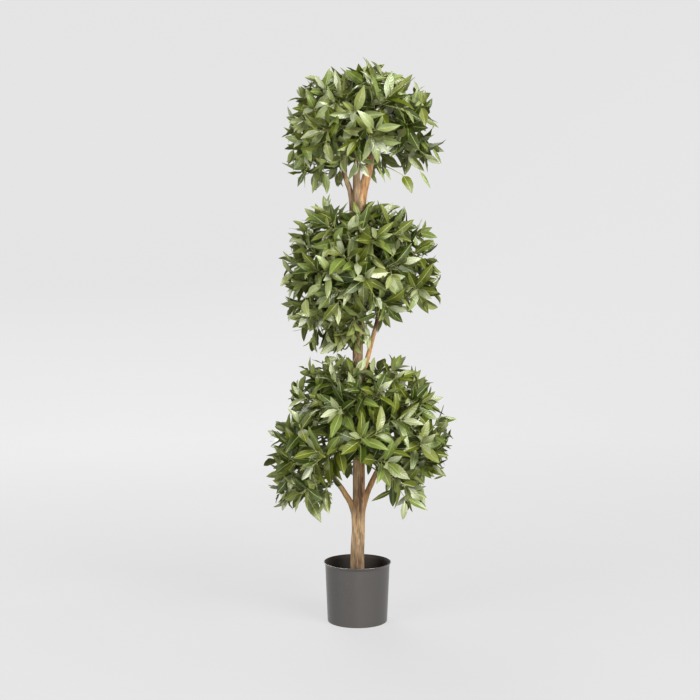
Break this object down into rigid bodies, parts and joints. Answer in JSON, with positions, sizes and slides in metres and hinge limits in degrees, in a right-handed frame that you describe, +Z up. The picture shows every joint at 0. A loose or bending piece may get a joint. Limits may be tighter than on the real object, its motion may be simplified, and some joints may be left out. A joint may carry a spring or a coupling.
{
  "type": "artificial potted topiary tree",
  "caption": "Artificial bay topiary with balls of leafy sprays stacked on a bundled wooden trunk, standing in a plain round plastic pot with a weighted filling.",
  "frame": {"origin": "centre of the pot's flat underside", "axes": "+Z up along the trunk, +X to the right and +Y away from the viewer of the picture"},
  "size_m": [0.5165, 0.5022, 1.4974],
  "materials": {
    "pot": "satin dark grey",
    "fill": "rough dark cement",
    "bark": "natural bark",
    "foliage": "satin green leaf"
  },
  "bodies": {
    "root": {"lower_ball_back": "foliage", "lower_ball_front": "foliage", "lower_ball_left": "foliage", "lower_ball_right": "foliage", "lower_ball_upper_front": "foliage", "lower_ball_upper_left": "foliage", "lower_ball_upper_right": "foliage", "lower_bough_left": "bark", "lower_bough_right": "bark", "middle_ball_back": "foliage", "middle_ball_front": "foliage", "middle_ball_left": "foliage", "middle_ball_right": "foliage", "middle_ball_upper_front": "foliage", "middle_ball_upper_left": "foliage", "middle_ball_upper_right": "foliage", "middle_bough_right": "bark", "pot": "pot", "pot_fill": "fill", "top_ball_back": "foliage", "top_ball_crown": "foliage", "top_ball_front": "foliage", "top_ball_left": "foliage", "top_ball_right": "foliage", "top_bough_left": "bark", "top_bough_right": "bark", "trunk": "bark"}
  },
  "joints": []
}
